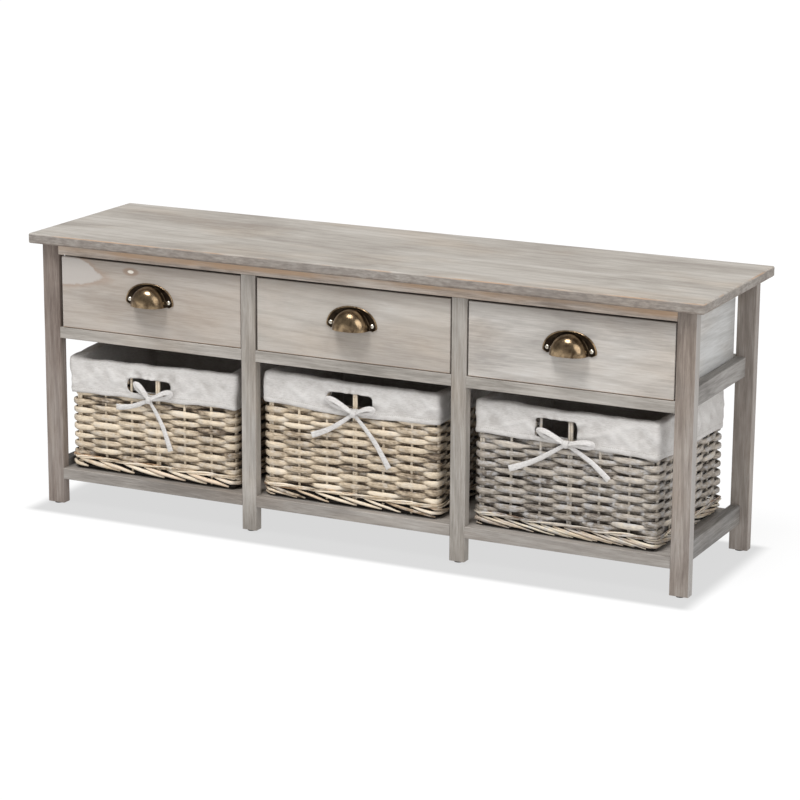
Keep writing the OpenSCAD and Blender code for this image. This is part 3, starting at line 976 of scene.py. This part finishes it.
def bow(side):
    """A tie with two loops, two tails and a knot wrapped over the middle."""
    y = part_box(side + "_basket_bow")[1].y + 3.4 * MM
    knot, left, right, tail_l, tail_r = (Vector((x * MM, y, z * MM)) for x, z in BOWS[side])
    rods = Rods(10)
    front = Vector((0, -1, 0))
    k = knot + front * 4.2 * MM

    def loop(end, seed):
        d = end - knot
        d.y = 0
        u = d.normalized()
        side_way = front.cross(u)
        if side_way.z < 0:
            side_way = -side_way
        size = d.length
        w = 3.5 * MM
        pts = [k, k + u * size * 0.35 + side_way * w * 0.8 + front * 1.6 * MM,
               k + u * size * 0.75 + side_way * w * 1.2 + front * 2.6 * MM,
               k + u * size * 0.98 + side_way * w * 0.2 + front * 2.0 * MM,
               k + u * size * 0.78 - side_way * w * 1.1 + front * 0.6 * MM,
               k + u * size * 0.38 - side_way * w * 0.8 - front * 0.6 * MM, k]
        tape(rods, pts, lambda t: front + side_way * 0.9 * math.cos(math.pi * t),
             lambda t: (6.2 + 1.8 * math.sin(math.pi * t)) * MM, 1.5 * MM, seed)

    def tail(end, seed, bend):
        d = end - knot
        d.y = 0
        u = d.normalized()
        side_way = front.cross(u)
        size = d.length
        pts = [k, k + u * size * 0.25 + side_way * bend * 0.6 - front * 1.5 * MM,
               k + u * size * 0.55 + side_way * bend - front * 1.2 * MM,
               k + u * size * 0.82 + side_way * bend * 0.6 + front * 0.6 * MM,
               k + u * size + front * 1.0 * MM]
        tape(rods, pts, front, lambda t: (5.5 + 4.0 * t) * MM, 1.6 * MM, seed)

    loop(left, 1.0)
    loop(right, 2.0)
    tail(tail_l, 3.0, 4 * MM)
    tail(tail_r, 4.0, 3 * MM)
    across, rings = Vector((1, 0, 0)), []
    for j in range(12):
        a = 2 * math.pi * j / 12
        d = across * (0.8 * MM * math.sin(a)) + front * (2.6 * MM * math.cos(a))
        d += UP * (4.6 * MM * math.sin(a))
        rings.append((k + d, across, d.normalized(), 4.4 * MM, 1.4 * MM, 0.5))
    rods.sweep(rings, closed=True)
    core = [k + Vector((x * MM, 0, 0)) for x in (-4.5, -2, 0, 2, 4.5)]
    rods.along(core, lambda t: (2.2 + 1.4 * math.sin(math.pi * t)) * MM, 0.5, [front] * 5)
    return stand_askew(rods.build(side + "_bow"), side)


# ---- cup pulls

def metal(name, dark, light, rough):
    """Tarnished metal; the attribute "shade" marks where grime gathers."""
    n = Nodes(name)
    co = n.coords()
    tarnish = n.noise(co, 70, 4.0, 0.6, 0.4)
    colour = n.ramp(tarnish, (0.34, dark), (0.66, light))
    grime = n.math("MULTIPLY", n.attribute("shade"), 0.95)
    colour = n.mix(grime, colour, rgb(24, 17, 12))
    n.surface(Base_Color=colour, Metallic=1.0,
              Roughness=n.ramp(tarnish, (0.3, rough + 0.12), (0.7, rough)))
    n.bump(n.noise(co, 700, 2.0), 0.08, 0.0002)
    return n.mat


ANTIQUE = metal("antique_brass", rgb(84, 69, 53), rgb(164, 142, 113), 0.17)
SCREW = metal("screw_brass", rgb(196, 190, 178), rgb(226, 220, 208), 0.22)


# Half width, height and depth of the pull's parts, in mm
PLATE_WIDE, PLATE_HIGH, PLATE_CORNER = 41.0, 33.4, 6.5
DOME_WIDE, DOME_HIGH, DOME_DEEP, DOME_FOOT = 28.3, 30.0, 23.6, 1.9


def plate_ring(inset, around):
    """Half a rounded plate from end to end, as x and z."""
    points = []
    for i in range(around + 1):
        a = math.pi * i / around
        z = (PLATE_HIGH - inset) * math.sin(a) ** 0.86
        x = (PLATE_WIDE - inset) * math.copysign(abs(math.cos(a)) ** 0.92, math.cos(a))
        if z < PLATE_CORNER:
            cut = PLATE_CORNER - math.sqrt(PLATE_CORNER ** 2 - (PLATE_CORNER - z) ** 2)
            x -= math.copysign(cut, x)
        points.append((x, z))
    return points


def half_ellipse(wide, high, around):
    angles = [math.pi * i / around for i in range(around + 1)]
    return [(wide * math.cos(a), high * math.sin(a)) for a in angles]


def pull(side):
    """A pressed cup pull: a plate with a rolled edge and a deep dome open below."""
    lo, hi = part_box(side + "_drawer_pull")
    cx, face, z0 = (lo.x + hi.x) / 2, hi.y, lo.z
    around = 64
    # rings from the plate's back edge, over its rolled rim, in to the dome and up to its crown,
    # each with its depth and its grime
    rings = [(plate_ring(inset, around), y, grime) for inset, y, grime in (
        (0.0, 0.0, 0.0), (0.0, -1.1, 0.0), (0.5, -1.8, 0.0),
        (1.2, -2.0, 0.0), (1.9, -1.7, 0.5), (2.3, -1.2, 1.0))]
    rings.append((half_ellipse(29.2, 30.6, around), -1.2, 1.0))
    rings.append((half_ellipse(28.6, 30.2, around), -1.8, 0.6))
    for i in range(1, 15):
        a = math.pi / 2 * i / 15
        wide, high = DOME_WIDE * math.cos(a) ** 0.68, DOME_HIGH * math.cos(a) ** 0.60
        y = -DOME_FOOT - (DOME_DEEP - DOME_FOOT) * math.sin(a)
        rings.append((half_ellipse(wide, high, around), y, 0.25 if i < 3 else 0.0))
    n = around + 1
    verts, faces, tones = [], [], []
    for points, y, grime in rings:
        verts += [Vector((cx + x * MM, face + y * MM, z0 + z * MM)) for x, z in points]
        tones += [grime] * n
    for i in range(len(rings) - 1):
        for j in range(i * n, i * n + around):
            faces.append((j, j + 1, j + n + 1, j + n))
    last, crown = len(verts) - n, len(verts)
    verts.append(Vector((cx, face - DOME_DEEP * MM, z0)))
    tones.append(0.0)
    for j in range(last, last + around):
        faces.append((j, j + 1, crown))
    obj = new_mesh(side + "_cup_pull", verts, faces, {"shade": tones})
    mod = obj.modifiers.new("sheet_metal", "SOLIDIFY")
    mod.thickness = 1.1 * MM
    mod.offset = -1
    bev = obj.modifiers.new("lip", "BEVEL")
    bev.width = 0.35 * MM
    bev.segments = 2
    bev.limit_method = "ANGLE"
    bev.angle_limit = math.radians(50)
    return apply_modifiers(obj)


def screws(side):
    """Two round-headed screws with a cross recess."""
    lo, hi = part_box(side + "_drawer_pull_screws")
    cz, y0 = (lo.z + hi.z) / 2, lo.y + 1.6 * MM
    around, head, shank = 32, 3.2, 1.5
    # rings from the head's back to its recess; None is the cross
    profile = [(head, 0.2), (head, -0.3), (2.9, -0.9), (2.2, -1.5), (None, -1.8)]
    verts, faces = [], []

    def ring(cx, radius, y):
        """Adds a ring of vertices and returns where it starts."""
        for i in range(around):
            a = 2 * math.pi * i / around
            r = radius or (1.5 if i % 8 in (0, 1, 7) else 0.7)
            verts.append(Vector((cx + r * MM * math.cos(a), y, cz + r * MM * math.sin(a))))
        return len(verts) - around

    for cx in (lo.x + head * MM, hi.x - head * MM):
        starts = [ring(cx, r, y0 + y * MM) for r, y in profile]
        starts.append(ring(cx, None, y0 - 0.5 * MM))
        for a, b in zip(starts, starts[1:]):
            bridge(faces, a, b, around)
        faces.append(tuple(range(starts[-1], starts[-1] + around)))
        back = ring(cx, shank, hi.y)
        bridge(faces, back, starts[0], around)
        faces.append(tuple(reversed(range(back, back + around))))
    return new_mesh(side + "_screws", verts, faces, smooth=False)


# ---- build

for side in SIDES:
    body = side + "_basket_set"
    w = wicker_basket(side)
    paint(w, GREY_WICKER if side == "right" else TAN_WICKER)
    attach(w, body)
    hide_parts(side + "_basket")
    c = liner(side)
    paint(c, COTTON)
    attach(c, body)
    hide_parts(side + "_basket_liner")
    b = bow(side)
    paint(b, RIBBON)
    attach(b, body)
    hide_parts(side + "_basket_bow")
    p = pull(side)
    paint(p, ANTIQUE)
    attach(p, side + "_drawer")
    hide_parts(side + "_drawer_pull")
    q = screws(side)
    paint(q, SCREW)
    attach(q, side + "_drawer")
    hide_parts(side + "_drawer_pull_screws")


# ---- floor and lights

def floor():
    """A white floor with a painted pale grey shadow under the bench."""
    half = 20
    me = bpy.data.meshes.new("floor")
    me.from_pydata([(-half, -half, 0), (half, -half, 0), (half, half, 0), (-half, half, 0)], [],
                   [(0, 1, 2, 3)])
    obj = bpy.data.objects.new("floor", me)
    scene.collection.objects.link(obj)
    n = Nodes("floor_paper")
    x, y, _ = n.position()
    # the painted shadow patch fades out near the bench's outline
    off_x = n.math("ABSOLUTE", n.math("SUBTRACT", x, 0.004))
    off_y = n.math("ABSOLUTE", n.math("ADD", y, 0.008))
    patch = n.math("MULTIPLY", n.drop(off_x, 0.517, 0.547), n.drop(off_y, 0.153, 0.173))
    grain = n.noise(n.coords(), 300, 2.0)
    paper = n.ramp(grain, (0.3, (0.12, 0.12, 0.12, 1)), (0.7, (0.14, 0.14, 0.14, 1)))
    # painted shadow: inside the patch the floor is darker and glows less
    n.surface(Base_Color=n.mix(patch, paper, (0.03, 0.03, 0.03, 1)),
              Emission_Color=(1, 1, 1, 1), Roughness=0.9, Specular_IOR_Level=0.0,
              Emission_Strength=n.math("MULTIPLY_ADD", patch, -0.19, 0.87))
    paint(obj, n.mat)


def sun(name, strength, angle, azimuth, elevation):
    """A soft sun that shines from this azimuth (0 is in front, 90 is right) and elevation."""
    data = bpy.data.lights.new(name, "SUN")
    data.energy = strength
    data.angle = math.radians(angle)
    obj = bpy.data.objects.new(name, data)
    az, el = math.radians(azimuth), math.radians(elevation)
    way = Vector((math.sin(az) * math.cos(el), -math.cos(az) * math.cos(el), math.sin(el)))
    obj.rotation_euler = way.to_track_quat("Z", "Y").to_euler()
    scene.collection.objects.link(obj)


floor()
sun("key", 2.25, 26, -14, 65)
sun("top", 0.45, 40, 172, 62)
sun("fill", 1.0, 46, 60, 28)
world = bpy.data.worlds.new("studio")
scene.world = world
world.use_nodes = True
sky = world.node_tree.nodes["Background"].inputs
sky[0].default_value = (1, 1, 1, 1)
sky[1].default_value = 0.38
scene.view_settings.view_transform = "Standard"
scene.view_settings.look = "None"
